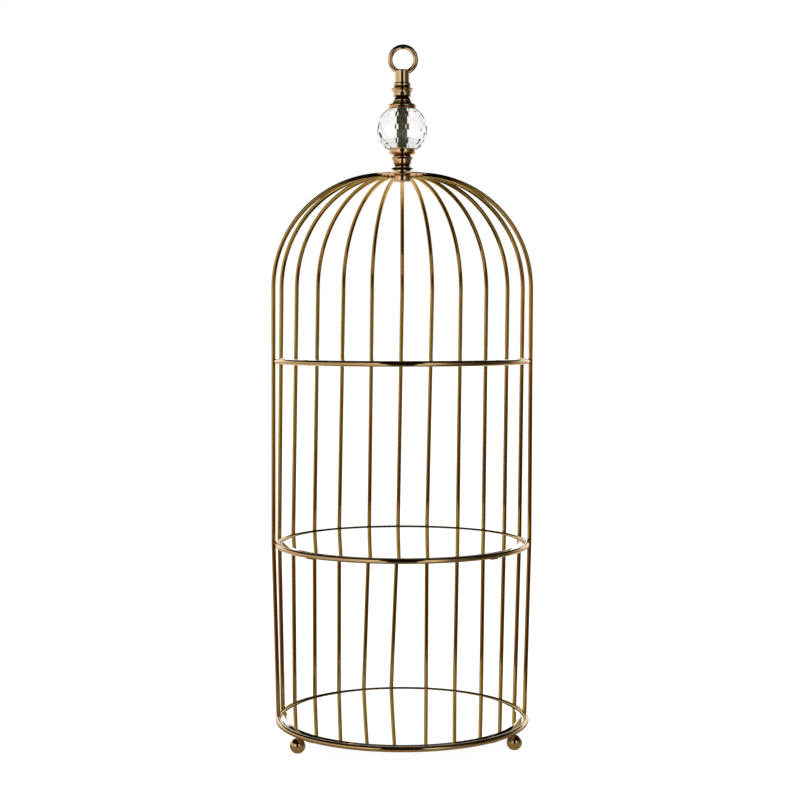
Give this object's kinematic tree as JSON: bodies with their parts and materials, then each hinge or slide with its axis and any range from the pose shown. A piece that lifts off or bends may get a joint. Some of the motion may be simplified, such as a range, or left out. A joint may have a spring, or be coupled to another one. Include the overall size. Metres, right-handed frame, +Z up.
{
  "type": "birdcage display stand",
  "caption": "Open-fronted wire birdcage stand: brazed bars round the back of round mirror shelves, a domed crown, ball feet and a cut-glass finial with a hanging loop.",
  "frame": {"origin": "on the floor under the middle of the stand, at the height of the balls' lowest points", "axes": "+Z up; the open front faces -Y; +X to the right seen from the front"},
  "size_m": [0.261, 0.2577, 0.6866],
  "materials": {
    "gold_plate": "polished gold plate on iron wire",
    "mirror_glass": "bevelled mirror",
    "cut_crystal": "faceted clear crystal",
    "rod_steel": "plain steel rod"
  },
  "bodies": {
    "stand": {"bar_01": "gold_plate", "bar_02": "gold_plate", "bar_03": "gold_plate", "bar_04": "gold_plate", "bar_05": "gold_plate", "bar_06": "gold_plate", "bar_07": "gold_plate", "bar_08": "gold_plate", "bar_09": "gold_plate", "bar_10": "gold_plate", "bar_11": "gold_plate", "bar_12": "gold_plate", "bar_13": "gold_plate", "base_ring": "gold_plate", "middle_ring": "gold_plate", "top_ring": "gold_plate", "base_tabs": "gold_plate", "middle_tabs": "gold_plate", "top_tabs": "gold_plate", "front_left_foot": "gold_plate", "front_right_foot": "gold_plate", "rear_foot": "gold_plate", "crown_disc": "gold_plate", "crown_nut": "gold_plate", "finial_rod": "rod_steel", "lower_neck": "gold_plate", "lower_cup": "gold_plate", "crystal_ball": "cut_crystal", "upper_cup": "gold_plate", "upper_collar": "gold_plate", "loop_stem": "gold_plate", "hanging_loop": "gold_plate"},
    "base_shelf": {"base_mirror": "mirror_glass"},
    "middle_shelf": {"middle_mirror": "mirror_glass"},
    "top_shelf": {"top_mirror": "mirror_glass"}
  },
  "joints": [
    {"name": "base_shelf_lift", "type": "slide", "parent": "stand", "child": "base_shelf", "axis": [0, 0, 1], "range_m": [0, 0.15]},
    {"name": "middle_shelf_lift", "type": "slide", "parent": "stand", "child": "middle_shelf", "axis": [0, 0, 1], "range_m": [0, 0.15]},
    {"name": "top_shelf_lift", "type": "slide", "parent": "stand", "child": "top_shelf", "axis": [0, 0, 1], "range_m": [0, 0.095]}
  ]
}
